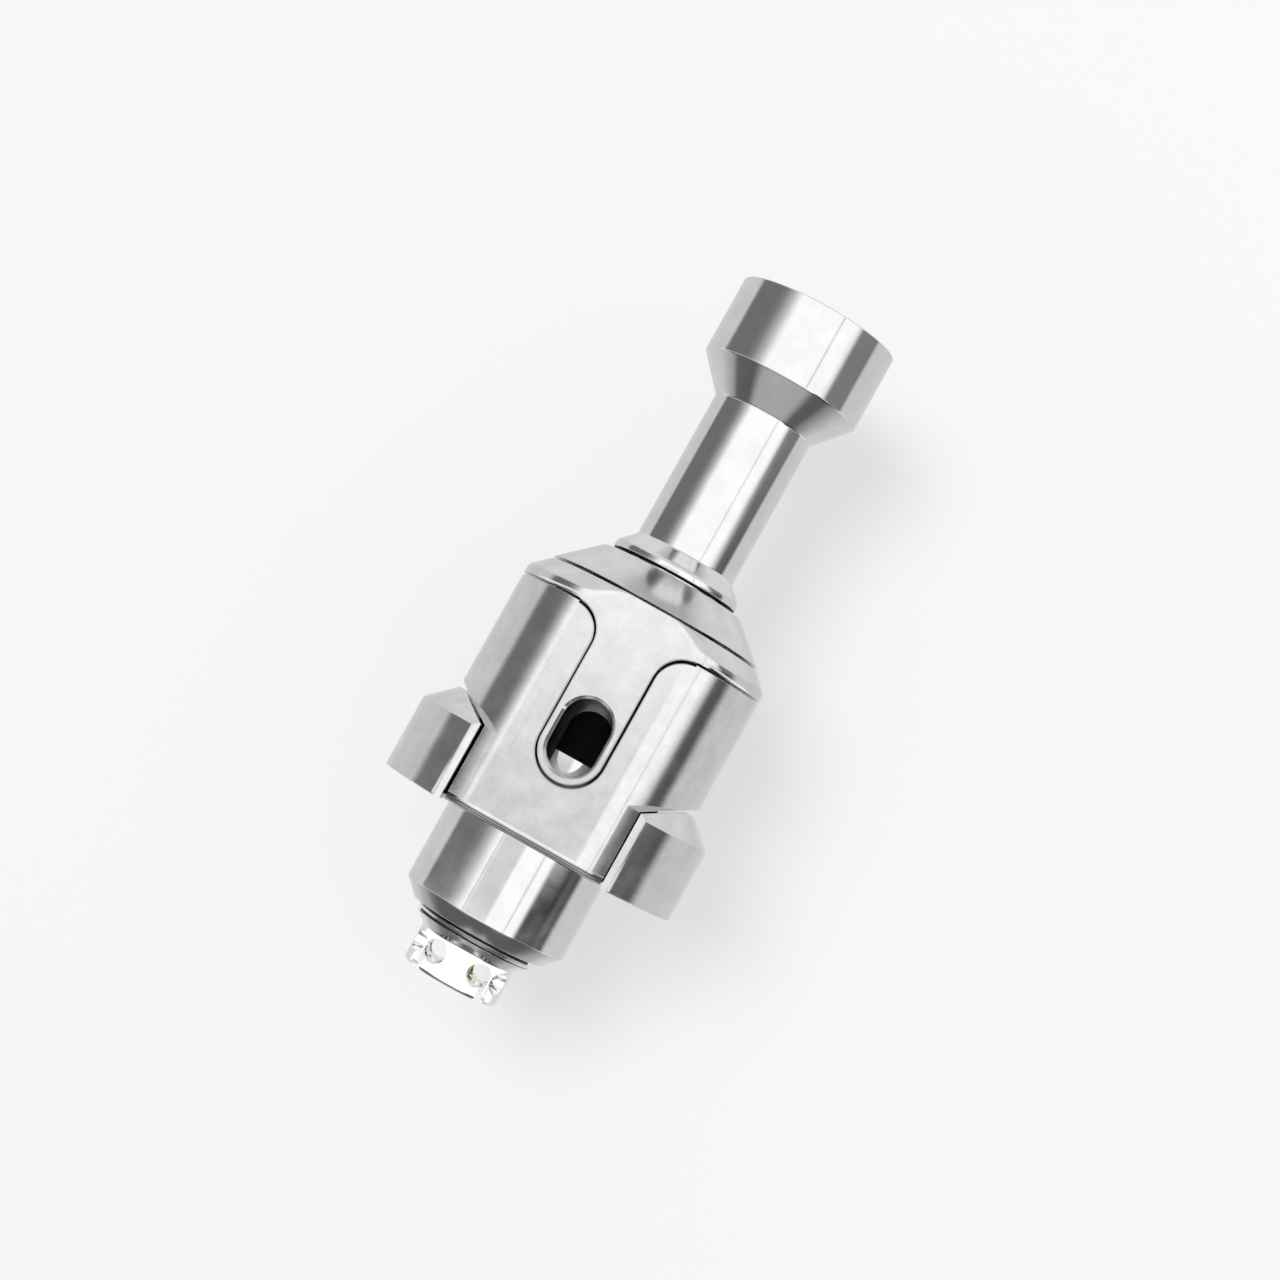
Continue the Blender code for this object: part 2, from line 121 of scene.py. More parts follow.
class BridgeSizes(bpy.types.PropertyGroup):
    """Sizes of the turned and milled pieces, in millimetres."""

    edge: length("Edge round", "Rounding of every turned edge", 0.07)
    stem_radius: length("Stem radius", "Outer radius of the stem", 2.7)
    airway_radius: length("Airway radius", "Bore of the stem", 1.75)
    cup_height: length("Cup height", "Straight wall of the cup", 4.05)
    cup_cone: length("Cup cone", "Height of the cone between stem and cup", 1.75)
    socket_radius: length("Socket radius", "Bore of the cup", 3.6)
    lip_radius: length("Lip radius", "Radius of the flared lip", 3.46)
    lip_height: length("Lip height", "Straight edge of the lip", 0.2)
    lip_round: length("Lip round", "Radius between the lip and its cone", 0.4)
    flare: length("Flare", "Height of the lip and its cone", 1.14)
    spigot_radius: length("Spigot radius", "Chimney's spigot in the cap", 2.6)
    cap_top_radius: length("Cap top", "Radius of the cap's flat top", 3.9)
    cap_neck: length("Cap neck", "Depth of the cap's spigot below its cone", 2.05)
    shoulder: length("Shoulder", "Straight edge of the chamber's shoulder", 0.5)
    shoulder_height: length("Shoulder height", "Shoulder from its underside to the top", 1.4)
    chamber_top_radius: length("Chamber top", "Radius of the chamber's top face", 5.82)
    flat_depth: length("Flat depth", "Distance from the axis to a milled flat", 5.64)
    flat_blend: length("Flat blend", "Radius between a flat and the barrel", 3.0)
    parting: length("Parting", "Visible gap between neighbours that part", 0.1)
    broken_edge: length("Broken edge", "Chamfer along a milled outline", 0.06)
    tongue_half: length("Tongue", "Half width of the chamber's tongue", 1.66)
    tongue_bottom: length("Tongue foot", "Height of the tongue's round foot", 11.3)
    tongue_flare: length("Tongue flare", "Radius of the tongue's upper corners", 1.55)
    port_half: length("Port", "Half width of the liquid port", 1.24)
    port_bottom: length("Port foot", "Height of the port's lowest point", 11.73)
    port_top: length("Port head", "Height of the port's highest point", 15.62)
    gate_edge: length("Gate edge", "Height of the gate's straight edge", 12.65)
    window_top: length("Window head", "Height of the window's rounded head", 15.15)
    window_near: length("Window near side", "From the axis to the window's nearer side", 0.85)
    window_far: length("Window far side", "From the axis to the window's farther side", 1.35)
    wing_side: length("Wing side", "Distance from the axis to a wing's inner corner", 4.35)
    wing_land: length("Wing land", "Width of the narrow face beside a wing's inner corner", 0.3)
    wing_edge: length("Wing edge", "Height of a wing's outer edge", 11.75)
    wing_slope: length("Wing slope", "Rise of the slanted joint per millimetre outwards", 0.6)
    wing_slope_start: length("Slope start", "Height of the slanted joint at the inner corner", 11.95)
    base_foot: length("Base foot", "Height of the base's lower face", 2.88)
    base_chamfer: length("Base chamfer", "Chamfer under the base", 0.8)
    crown_radius: length("Crown radius", "Outer radius of the crown", 2.55)
    crown_height: length("Crown height", "Straight wall of the crown", 1.95)
    cone_height: length("Cone height", "Cone between crown and thread", 0.5)
    cross_hole_radius: length("Cross hole", "Radius of the crown's cross holes", 0.58)
    cross_hole_offset: length("Cross hole offset", "Distance of a cross hole from the axis", 1.19)
    thread_pitch: length("Thread pitch", "Pitch of the air pin's thread", 0.35)
    thread_root: length("Thread root", "Root radius of the air pin's thread", 2.98)
    thread_crest: length("Thread crest", "Crest radius of the air pin's thread", 3.17)


class BridgeFinish(bpy.types.PropertyGroup):
    """Colours and roughness of the finishes."""

    steel: colour("Steel", "Turned stainless steel", (0.80, 0.80, 0.80))
    satin: colour("Satin steel", "Milled and turned stainless steel", (0.78, 0.78, 0.78))
    bright: colour("Bright steel", "Polished crown", (0.93, 0.93, 0.93))
    brass: colour("Brass", "Machined brass", (0.83, 0.62, 0.28))
    rubber: colour("Rubber", "Silicone seals", (0.02, 0.02, 0.02))
    insulator: colour("Insulator", "High-temperature plastic", (0.52, 0.38, 0.22))
    studio: colour("Studio", "Floor and backdrop", (0.57, 0.57, 0.57))
    glow: colour("Glow", "Even light of the backdrop", (0.96, 0.975, 1.0))
    backdrop: colour("Backdrop", "Floor, and whatever lies past it", (0.913, 0.921, 0.939))


def sizes():
    return bpy.context.scene.bridge_sizes


def finish():
    return bpy.context.scene.bridge_finish


# Shader maths

class Value:
    """A shader socket that takes part in plain arithmetic."""

    def __init__(self, graph, socket):
        self.graph = graph
        self.socket = socket

    def maths(self, operation, *others):
        return self.graph.node("ShaderNodeMath", {"operation": operation}, {
            index: item for index, item in enumerate((self, *others))
        })

    def __add__(self, other):
        return self.maths("ADD", other)

    __radd__ = __add__

    def __mul__(self, other):
        return self.maths("MULTIPLY", other)

    __rmul__ = __mul__

    def __sub__(self, other):
        return self.maths("SUBTRACT", other)

    def __rsub__(self, other):
        return self * -1.0 + other

    def __truediv__(self, other):
        return self.maths("DIVIDE", other)


class Graph:
    """Adds nodes to a shader tree and wraps what they give."""

    def __init__(self, tree):
        self.tree = tree

    def node(self, kind, settings=None, sockets=None, output=0):
        made = self.tree.nodes.new(kind)
        for key, setting in (settings or {}).items():
            if key == "stops":
                self.set_stops(made.color_ramp, setting)
            else:
                setattr(made, key, setting)
        for key, item in (sockets or {}).items():
            target = made.inputs[key]
            if isinstance(item, Value):
                self.tree.links.new(item.socket, target)
            else:
                target.default_value = item
        return Value(self, made.outputs[output]) if made.outputs else None

    @staticmethod
    def set_stops(ramp, stops):
        while len(ramp.elements) < len(stops):
            ramp.elements.new(1.0)
        for element, (place, level) in zip(ramp.elements, stops):
            element.position = place
            element.color = grey(level)

    def parts(self, vector):
        """A vector's three parts."""
        split = self.tree.nodes.new("ShaderNodeSeparateXYZ")
        self.tree.links.new(vector.socket, split.inputs[0])
        return [Value(self, part) for part in split.outputs]

    def fade(self, value, start, end):
        """0 up to the start, 1 from the end on, and smooth between them."""
        return self.node("ShaderNodeMapRange", {"interpolation_type": "SMOOTHSTEP"}, {
            0: value, 1: start, 2: end, 3: 0.0, 4: 1.0,
        })

    def between(self, value, low, high, soft):
        """1 from low to high, with soft ends, and 0 past them."""
        return self.fade(value, low - soft, low + soft) * (
            1.0 - self.fade(value, high - soft, high + soft)
        )

    def rings(self, place, across, along, detail):
        """Noise drawn out into rings round Z, as a cutting tool leaves them."""
        drawn = self.node("ShaderNodeMapping", sockets={"Vector": place, "Scale": (across, across, along)})
        return self.noise(drawn, 1.0, detail)

    def noise(self, place, scale, detail):
        return self.node("ShaderNodeTexNoise", sockets={"Vector": place, "Scale": scale, "Detail": detail})

    def place(self):
        """Where a point lies on the piece."""
        return self.node("ShaderNodeTexCoord", output=3)

    def blend(self, factor, low, high):
        """A colour between two others."""
        return self.node("ShaderNodeMix", {"data_type": "RGBA"}, {0: factor, 6: low, 7: high}, output=2)


def new_material(name):
    made = bpy.data.materials.new(name)
    made.use_nodes = True
    made.node_tree.nodes.clear()
    return made, Graph(made.node_tree)


def opaque(tint, share=1.0):
    """A colour, or a share of it, as a socket takes it."""
    return (*[part * share for part in tint], 1.0)


def grey(level):
    return (level, level, level, 1.0)


def surface(graph, **sockets):
    """A Principled surface on the material's output."""
    named = {key.replace("_", " ").title(): item for key, item in sockets.items()}
    shader = graph.node("ShaderNodeBsdfPrincipled", sockets=named)
    graph.node("ShaderNodeOutputMaterial", sockets={"Surface": shader})


def steel(name, tint, roughness, grain, mottle):
    """Stainless steel: fine rings left by the tool, a soft mottle from handling, and specks of wear."""
    made, graph = new_material(name)
    place = graph.place()
    rings = graph.rings(place, across=500.0, along=22000.0, detail=3.0)
    broad = graph.noise(place, scale=900.0, detail=4.0)
    fine = graph.noise(place, scale=6500.0, detail=2.0)
    cloud = graph.node("ShaderNodeMapRange", sockets={0: broad, 1: 0.35, 2: 0.7, 3: 0.0, 4: 1.0})
    worn = graph.blend(cloud * 0.6 + fine * 0.4, opaque(tint, 1.0 - mottle), opaque(tint))
    relief = graph.node("ShaderNodeBump", sockets={
        "Strength": grain, "Distance": RING_DEPTH, "Height": rings * 0.8 + fine * 0.2 + broad * 0.6,
    })
    surface(
        graph, base_color=worn, metallic=1.0, roughness=roughness + cloud * 0.03 + rings * 0.03,
        normal=relief,
    )
    return made


def rubber_material():
    made, graph = new_material("seal_rubber")
    dust = graph.noise(graph.place(), scale=4000.0, detail=3.0)
    tint = finish().rubber
    body = graph.blend(dust, opaque(tint), opaque([part + 0.02 for part in tint]))
    surface(graph, base_color=body, roughness=dust * 0.2 + 0.5)
    return made


def brass_material():
    made, graph = new_material("machined_brass")
    rings = graph.rings(graph.place(), across=600.0, along=16000.0, detail=2.0)
    tint = finish().brass
    body = graph.blend(rings, opaque(tint, 0.85), opaque(tint))
    relief = graph.node("ShaderNodeBump", sockets={
        "Strength": 0.3, "Distance": RING_DEPTH, "Height": rings,
    })
    surface(graph, base_color=body, metallic=1.0, roughness=rings * 0.15 + 0.2, normal=relief)
    return made


def insulator_material():
    made, graph = new_material("insulator_plastic")
    cloud = graph.noise(graph.place(), scale=2500.0, detail=3.0)
    tint = finish().insulator
    surface(
        graph, base_color=graph.blend(cloud, opaque(tint, 0.85), opaque(tint)), roughness=cloud * 0.15 + 0.45
    )
    return made


def painted_shade_bore_material():
    """Painted shade: near-black cut steel put in bores and in the undercut under the lip, where shade falls.
    """
    made, graph = new_material("painted_shade_bore")
    rings = graph.rings(graph.place(), across=600.0, along=9000.0, detail=2.0)
    body = graph.blend(rings, opaque((0.010, 0.010, 0.011)), opaque((0.028, 0.028, 0.030)))
    surface(graph, base_color=body, metallic=0.5, roughness=rings * 0.2 + 0.4)
    return made


def make_materials():
    look = finish()
    # painted shade: a dark copy of the scored steel, for the port's walls, the window's faces and the barrel
    # seen in the gap round the tongue
    dark = (0.13, 0.13, 0.13)
    return {
        "polished_steel": steel("turned_steel", look.steel, roughness=0.06, grain=0.1, mottle=0.13),
        "satin_steel": steel("satin_steel", look.satin, roughness=0.1, grain=0.3, mottle=0.2),
        "bright_steel": steel("bright_steel", look.bright, roughness=0.07, grain=0.08, mottle=0.04),
        "scored_shaded_bore": steel("scored_shaded_bore", dark, roughness=0.2, grain=1.0, mottle=0.7),
        "painted_shade_bore": painted_shade_bore_material(),
        "brass": brass_material(),
        "rubber": rubber_material(),
        "peek": insulator_material(),
    }


# Mesh tools

def rounded(outline, radius):
    """A closed outline with every corner drawn as a small curve."""
    points = [Vector(p) for p in outline]
    result = []
    for index, corner in enumerate(points):
        back = points[index - 1] - corner
        ahead = points[(index + 1) % len(points)] - corner
        bend = math.pi - back.angle(ahead) if back.length and ahead.length else 0.0
        reach = min(radius, back.length / 3, ahead.length / 3)
        if bend < 0.12 or corner.x < 1e-6:
            result.append(corner)
            continue
        start = corner + back.normalized() * reach
        end = corner + ahead.normalized() * reach
        for step in range(CORNER_STEPS + 1):
            t = step / CORNER_STEPS
            result.append(start * (1 - t) ** 2 + corner * 2 * t * (1 - t) + end * t ** 2)
    return result


def arc(centre_u, centre_v, radius, start, end, steps):
    """Points on an arc between two angles in degrees, both ends included."""
    angles = [math.radians(start + (end - start) * i / steps) for i in range(steps + 1)]
    return [(centre_u + radius * math.cos(a), centre_v + radius * math.sin(a)) for a in angles]


def add_piece(name, mesh):
    made = bpy.data.objects.new(name, mesh)
    bpy.context.scene.collection.objects.link(made)
    return made


def to_mesh(name, shape):
    """Turn a bmesh into a closed piece whose faces point outwards."""
    bmesh.ops.remove_doubles(shape, verts=shape.verts, dist=MERGE)
    bmesh.ops.recalc_face_normals(shape, faces=shape.faces)
    mesh = bpy.data.meshes.new(name)
    shape.to_mesh(mesh)
    shape.free()
    return add_piece(name, mesh)


def lathe(name, outline, steps=TURN_STEPS, edge=None):
    """Turn a closed outline of (radius, height), or one that starts and ends on the axis, round Z."""
    if edge is None:
        edge = sizes().edge
    drawn = rounded(outline, edge) if edge else [Vector(p) for p in outline]
    solid = drawn[0].x < 1e-6
    shape = bmesh.new()
    verts = [shape.verts.new((p.x * MM, 0.0, p.y * MM)) for p in drawn]
    pairs = list(zip(verts, verts[1:]))
    if not solid:
        pairs.append((verts[-1], verts[0]))
    edges = [shape.edges.new(pair) for pair in pairs]
    bmesh.ops.spin(
        shape, geom=verts + edges, cent=(0, 0, 0), axis=(0, 0, 1), angle=2 * math.pi, steps=steps,
        use_merge=True,
    )
    return to_mesh(name, shape)


def loft(name, layers, upright=False):
    """A solid through like outlines, each at its own depth. Depth runs along Z or, upright, along Y."""
    def spot(u, v, depth):
        return (u * MM, depth * MM, v * MM) if upright else (u * MM, v * MM, depth * MM)

    shape = bmesh.new()
    rings = [[shape.verts.new(spot(u, v, depth)) for u, v in outline] for depth, outline in layers]
    shape.faces.new(rings[0])
    shape.faces.new(list(reversed(rings[-1])))
    count = len(rings[0])
    for near, far in zip(rings, rings[1:]):
        for i in range(count):
            following = (i + 1) % count
            shape.faces.new((near[following], near[i], far[i], far[following]))
    return to_mesh(name, shape)


def slab(name, outline, low, high, upright=False):
    return loft(name, [(low, outline), (high, outline)], upright)


def block(name, low, high, turn=0.0):
    """A box, turned by an angle round Z."""
    outline = [(low[0], low[1]), (high[0], low[1]), (high[0], high[1]), (low[0], high[1])]
    cos, sin = math.cos(turn), math.sin(turn)
    return slab(name, [(u * cos - v * sin, u * sin + v * cos) for u, v in outline], low[2], high[2])


def rod(name, radius, centre, half_length, axis="Z"):
    """A cylinder round a line along X, Y or Z."""
    turn = {"X": Matrix.Rotation(math.pi / 2, 4, "Y"), "Y": Matrix.Rotation(math.pi / 2, 4, "X")}
    place = Matrix.Translation([c * MM for c in centre]) @ turn.get(axis, Matrix.Identity(4))
    shape = bmesh.new()
    bmesh.ops.create_cone(
        shape, cap_ends=True, segments=64, radius1=radius * MM, radius2=radius * MM,
        depth=2 * half_length * MM, matrix=place,
    )
    return to_mesh(name, shape)


def evaluated(piece):
    bpy.context.view_layer.update()
    return bpy.data.meshes.new_from_object(piece.evaluated_get(bpy.context.evaluated_depsgraph_get()))


def settle_modifiers(piece):
    """Apply a piece's modifiers to its mesh."""
    old = piece.data
    piece.data = evaluated(piece)
    piece.modifiers.clear()
    bpy.data.meshes.remove(old)


def combine(piece, tools, operation="DIFFERENCE"):
    for tool in tools:
        step = piece.modifiers.new(tool.name, "BOOLEAN")
        step.operation = operation
        step.solver = "EXACT"
        step.object = tool
    settle_modifiers(piece)
    for tool in tools:
        bpy.data.objects.remove(tool)


def complete(piece, node, slot, replaces=True, inside=None):
    """Shade a finished piece, give it its material and tell the frame what it stands for. Inside takes a
    face's radius and height and says whether it keeps its finish or gets one of the two painted-shade
    materials."""
    mesh = piece.data
    mesh.materials.clear()
    mesh.materials.append(MATERIALS[slot])
    # the two painted-shade materials: dark steel standing in for the shade in hollows and gaps
    for inner in ("painted_shade_bore", "scored_shaded_bore"):
        mesh.materials.append(MATERIALS[inner])
    mesh.shade_smooth()
    mesh.set_sharp_from_angle(angle=math.radians(25))
    for face in mesh.polygons:
        spot = face.center / MM
        face.use_smooth = abs(face.normal.y) < 0.9999
        face.material_index = inside(math.hypot(spot.x, spot.y), spot.z) if inside else AS_FINISHED
    # keeps the small edge rounds from bending the shading of the long walls beside them
    even = piece.modifiers.new("even_shading", "WEIGHTED_NORMAL")
    even.keep_sharp = True
    settle_modifiers(piece)
    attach(piece, frame["nodes"][node]["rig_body"])
    if replaces:
        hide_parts(node)


MATERIALS = {}
# material slots: the piece's own finish, then the near-black painted shade, then the dark scored painted
# shade
AS_FINISHED, PAINTED_SHADE, SCORED_SHADE = range(3)


# Outlines that neighbours share

def groove(radius, floor_radius, height, half=0.25):
    """Points of a seal's groove in a wall that is passed from the top down."""
    return [
        (radius, height + half), (floor_radius, height + half),
        (floor_radius, height - half), (radius, height - half),
    ]


def tongue_outline(grow):
    """The chamber's tongue from the front: a round foot, straight sides and flares into the shoulder."""
    size = sizes()
    half = size.tongue_half + grow
    flare = size.tongue_flare - grow
    bend = SLEEVE_HIGH.z - size.tongue_flare
    foot = arc(0, size.tongue_bottom + size.tongue_half, half, 180, 360, 48)
    right = arc(half + flare, bend, flare, 180, 90, 24)
    left = arc(-half - flare, bend, flare, 90, 0, 24)
    top = SLEEVE_HIGH.z + 0.3
    return foot + right + [(right[-1][0], top), (left[0][0], top)] + left


def port_outline(grow):
    size = sizes()
    half = size.port_half
    lower = arc(0, size.port_bottom + half, half + grow, 180, 360, 48)
    return lower + arc(0, size.port_top - half, half + grow, 0, 180, 48)


def slope_height(x, grow=0.0):
    """Height of the slanted joint between a wing and the sleeve, this far out from the axis."""
    size = sizes()
    return size.wing_slope_start + size.wing_slope * (x - size.wing_side) + grow


def barrel_section(radius, inset=0.0):
    """The barrel from above at one radius: two flats that blend into the round."""
    size = sizes()
    flat = size.flat_depth - inset
    blend = size.flat_blend
    half = math.sqrt((radius - blend) ** 2 - (flat - blend) ** 2)
    join = math.degrees(math.atan2(flat - blend, half))
    front = arc(half, -(flat - blend), blend, -90, -join, 16)
    side = arc(0, 0, radius, -join, join, 96)[1:-1]
    back = arc(half, flat - blend, blend, join, 90, 16)
    right = front + side + back
    return right + [(-x, -y) for x, y in right]


# Operators

class BRIDGE_OT_chimney(bpy.types.Operator):
    """Cup, stem, flared lip and spigot, turned in one piece."""

    bl_idname = "bridge.chimney"
    bl_label = "Chimney"

    def execute(self, context):
        size = sizes()
        cup = CHIMNEY_HIGH.x
        top = CHIMNEY_HIGH.z
        bottom = CHIMNEY_LOW.z
        cup_bottom = top - size.cup_height
        stem_top = cup_bottom - size.cup_cone
        lip_bottom = CAP_HIGH.z + 0.2
        lip_top = lip_bottom + size.lip_height
        flare_top = lip_bottom + size.flare
        slant = math.atan2(size.lip_radius - size.stem_radius, size.flare - size.lip_height)
        round_centre = size.lip_radius - size.lip_round
        shoulder = arc(round_centre, lip_top, size.lip_round, math.degrees(slant) * 1.1, 0, 8)
        neck = 0.5
        groove_floor = 2.18
        socket_bottom = cup_bottom - 0.3
        chimney = lathe("chimney_turned", [
            (cup, top),
            (cup, cup_bottom),
            (size.stem_radius, stem_top),
            (size.stem_radius, flare_top),
            *shoulder,
            (size.lip_radius, lip_bottom),
            (size.spigot_radius, lip_bottom),
            *groove(size.spigot_radius, groove_floor, bottom + 1.75),
            *groove(size.spigot_radius, groove_floor, bottom + 0.75),
            (size.spigot_radius, bottom),
            (size.airway_radius, bottom),
            (size.airway_radius, stem_top - 0.05),
            (size.socket_radius - neck, socket_bottom),
            (size.socket_radius, socket_bottom),
            (size.socket_radius, top),
        ])

        # painted shade: the airway and the lip's underside get the near-black material
        def inside(radius, height):
            airway = radius < size.airway_radius + NEAR and height < stem_top
            under_lip = radius > size.spigot_radius + NEAR / 2 and height < lip_bottom + NEAR / 4
            return PAINTED_SHADE if airway or under_lip else AS_FINISHED

        complete(chimney, "chimney", "polished_steel", inside=inside)
        return {"FINISHED"}


class BRIDGE_OT_top_cap(bpy.types.Operator):
    """Shallow cone that screws into the chamber."""

    bl_idname = "bridge.top_cap"
    bl_label = "Top cap"

    def execute(self, context):
        size = sizes()
        rim = CAP_LOW.z + size.cap_neck
        neck = 4.55
        bore = size.spigot_radius + GAP
        ledge = CHIMNEY_LOW.z - GAP
        airway = 1.9
        cap = lathe("top_cap_turned", [
            (size.cap_top_radius, CAP_HIGH.z),
            (CAP_HIGH.x, rim),
            (neck, rim),
            *groove(neck, 4.13, CAP_LOW.z + 0.8),
            (neck, CAP_LOW.z),
            (4.0, CAP_LOW.z),
            (airway, ledge - 0.4),
            (airway, ledge),
            (bore, ledge),
            (bore, CAP_HIGH.z),
        ])
        complete(cap, "top_cap", "satin_steel")
        return {"FINISHED"}


class BRIDGE_OT_chamber(bpy.types.Operator):
    """Shoulder, milled flats, tongues and the liquid port."""

    bl_idname = "bridge.chamber"
    bl_label = "Chamber"

    def execute(self, context):
        size = sizes()
        barrel = 4.95
        bore = 4.05
        seat = 4.6
        seat_bottom = CAP_LOW.z - 0.1
        top = CHAMBER_HIGH.z - 0.04
        outer = CHAMBER_HIGH.x
        underside = CHAMBER_HIGH.z - size.shoulder_height
        corner = underside + size.shoulder
        soft = size.edge
        tilt = (outer - size.chamber_top_radius) / (top - corner)
        slope = [corner + soft + (top - corner - 2 * soft) * i / 10 for i in range(11)]
        chamber = loft("chamber_body", [
            (underside, barrel_section(outer - soft, soft)),
            (underside + 0.3 * soft, barrel_section(outer - 0.3 * soft, 0.3 * soft)),
            (underside + soft, barrel_section(outer)),
            (corner - soft, barrel_section(outer)),
            (corner, barrel_section(outer - 0.4 * soft)),
            *[(z, barrel_section(outer - tilt * (z - corner))) for z in slope],
            (top - 0.3 * soft, barrel_section(size.chamber_top_radius - 0.1 * soft, 0.2 * soft)),
            (top, barrel_section(size.chamber_top_radius - soft, soft)),
        ])
        combine(chamber, [
            rod("barrel", barrel, (0, 0, (CHAMBER_LOW.z + underside) / 2 + 0.1),
                (underside - CHAMBER_LOW.z) / 2 + 0.1),
            self.tongues(),
        ], "UNION")
        port_face = -size.flat_depth
        rim = size.broken_edge * 2.5
        port = loft("port", [
            (-REACH, port_outline(rim)), (port_face, port_outline(rim)),
            (port_face + rim, port_outline(0.0)), (0.0, port_outline(0.0)),
        ], upright=True)
        core = lathe("core", [
            (0.0, REACH), (seat, REACH), (seat, seat_bottom), (bore, seat_bottom), (bore, 0.0), (0.0, 0.0)
        ], edge=0)
        combine(chamber, [core, port])

        # painted shade: the bore gets the near-black material; the barrel below the shoulder and the port's
        # walls get the dark scored steel
        def inside(radius, height):
            if height > seat_bottom + GAP:
                return AS_FINISHED
            if radius < (bore + seat) / 2:
                return PAINTED_SHADE
            return SCORED_SHADE if radius < (barrel + size.flat_depth) / 2 and height < underside else AS_FINISHED

        complete(chamber, "chamber", "satin_steel", inside=inside)
        return {"FINISHED"}

    @staticmethod
    def tongues():
        size = sizes()
        face = size.flat_depth
        broken = size.broken_edge
        return loft("tongues", [
            (-face, tongue_outline(-broken)), (-face + broken, tongue_outline(0.0)),
            (face - broken, tongue_outline(0.0)), (face, tongue_outline(-broken)),
        ], upright=True)


class BRIDGE_OT_sleeve(bpy.types.Operator):
    """Outer barrel, notched round the tongues and the wings."""

    bl_idname = "bridge.sleeve"
    bl_label = "Sleeve"

    def execute(self, context):
        size = sizes()
        foot = SLEEVE_LOW.z
        outer = SLEEVE_HIGH.x
        round_foot = 0.5
        bore = 5.0
        top = SLEEVE_HIGH.z - 0.04
        soft = 0.04
        curve = [math.radians(90 * i / 8) for i in range(9)]
        sleeve = loft("sleeve_body", [
            *[(foot + round_foot * (1 - math.sin(t)),
               barrel_section(outer - round_foot * (1 - math.cos(t)), round_foot * (1 - math.cos(t))))
              for t in reversed(curve)],
            (top - soft, barrel_section(outer)),
            (top - 0.3 * soft, barrel_section(outer - 0.3 * soft, 0.3 * soft)),
            (top, barrel_section(outer - soft, soft)),
        ])
        face = size.flat_depth
        broken = size.broken_edge
        gap = size.parting
        aside, down = 0.02, 0.05            # the notch sits this far off the tongue's middle
        narrow, wide = (
            [(u + aside, v - down) for u, v in tongue_outline(grow)] for grow in (gap, gap + broken)
        )
        notch = loft("notch", [
            (-REACH, wide), (-face, wide), (-face + broken, narrow),
            (face - broken, narrow), (face, wide), (REACH, wide),
        ], upright=True)
        near = size.wing_side - gap
        wing_notches = [
            slab(f"wing_notch_{side}", [
                (side * near, 0.0),
                (side * REACH, 0.0),
                (side * REACH, slope_height(REACH, gap)),
                (side * near, slope_height(near, gap)),
            ], -REACH, REACH, upright=True)
            for side in (1, -1)
        ]
        hollow = rod("hollow", bore, (0, 0, foot), REACH)
        combine(sleeve, [hollow, notch, *wing_notches])

        # painted shade: the sleeve's bore gets the near-black material
        def inside(radius, height):
            return PAINTED_SHADE if radius < bore + NEAR and height > foot + NEAR / 2 else AS_FINISHED

        complete(sleeve, "sleeve", "satin_steel", inside=inside)
        return {"FINISHED"}


class BRIDGE_OT_locking_ring(bpy.types.Operator):
    """Ring round the base's spigot with the two side wings."""

    bl_idname = "bridge.locking_ring"
    bl_label = "Locking ring"

    def execute(self, context):
        size = sizes()
        foot = WINGS_LOW.z
        ring_top = CHAMBER_LOW.z - GAP
        ring_outer = 4.92
        ring_bore = 4.05
        collar = 5.02
        recess = 4.97
        recess_top = foot + 0.15
        ridge = SLEEVE_HIGH.x
        land_y = WINGS_HIGH.y - 0.01
        land_drop = 0.09
        side_x = size.wing_side
        ring = lathe("locking_ring_body", [
            (ridge, WINGS_HIGH.z),
            (WINGS_HIGH.x, size.wing_edge),
            (WINGS_HIGH.x, foot),
            (recess, foot),
            (recess, recess_top),
            (ring_bore, recess_top),
            (ring_bore, ring_top),
            (collar, ring_top),
            (collar, WINGS_HIGH.z),
        ], edge=0.05)
        corner = [
            (side_x, land_y - land_drop), (side_x + size.wing_land, land_y), (REACH, land_y),
            (REACH, REACH),
        ]
        quarter = corner + [(-x, y) for x, y in reversed(corner)]
        waist = slab("waist", quarter + [(-x, -y) for x, y in quarter], 0.0, REACH)
        combine(waist, [lathe("core", [
            (0.0, REACH), (ring_outer, REACH), (ring_outer, 0.0), (0.0, 0.0)
        ], edge=0)])
        near = side_x - 1.0
        slopes = [
            slab(f"slope_{side}", [
                (side * near, slope_height(near)),
                (side * REACH, slope_height(REACH)),
                (side * REACH, 2 * REACH),
                (side * near, 2 * REACH),
            ], -REACH, REACH, upright=True)
            for side in (1, -1)
        ]
        combine(ring, [waist, *slopes])

        # painted shade: the ring's inner faces get the near-black material
        def inside(radius, height):
            return PAINTED_SHADE if radius < ring_outer - NEAR else AS_FINISHED

        complete(ring, "locking_ring", "satin_steel", inside=inside)
        return {"FINISHED"}


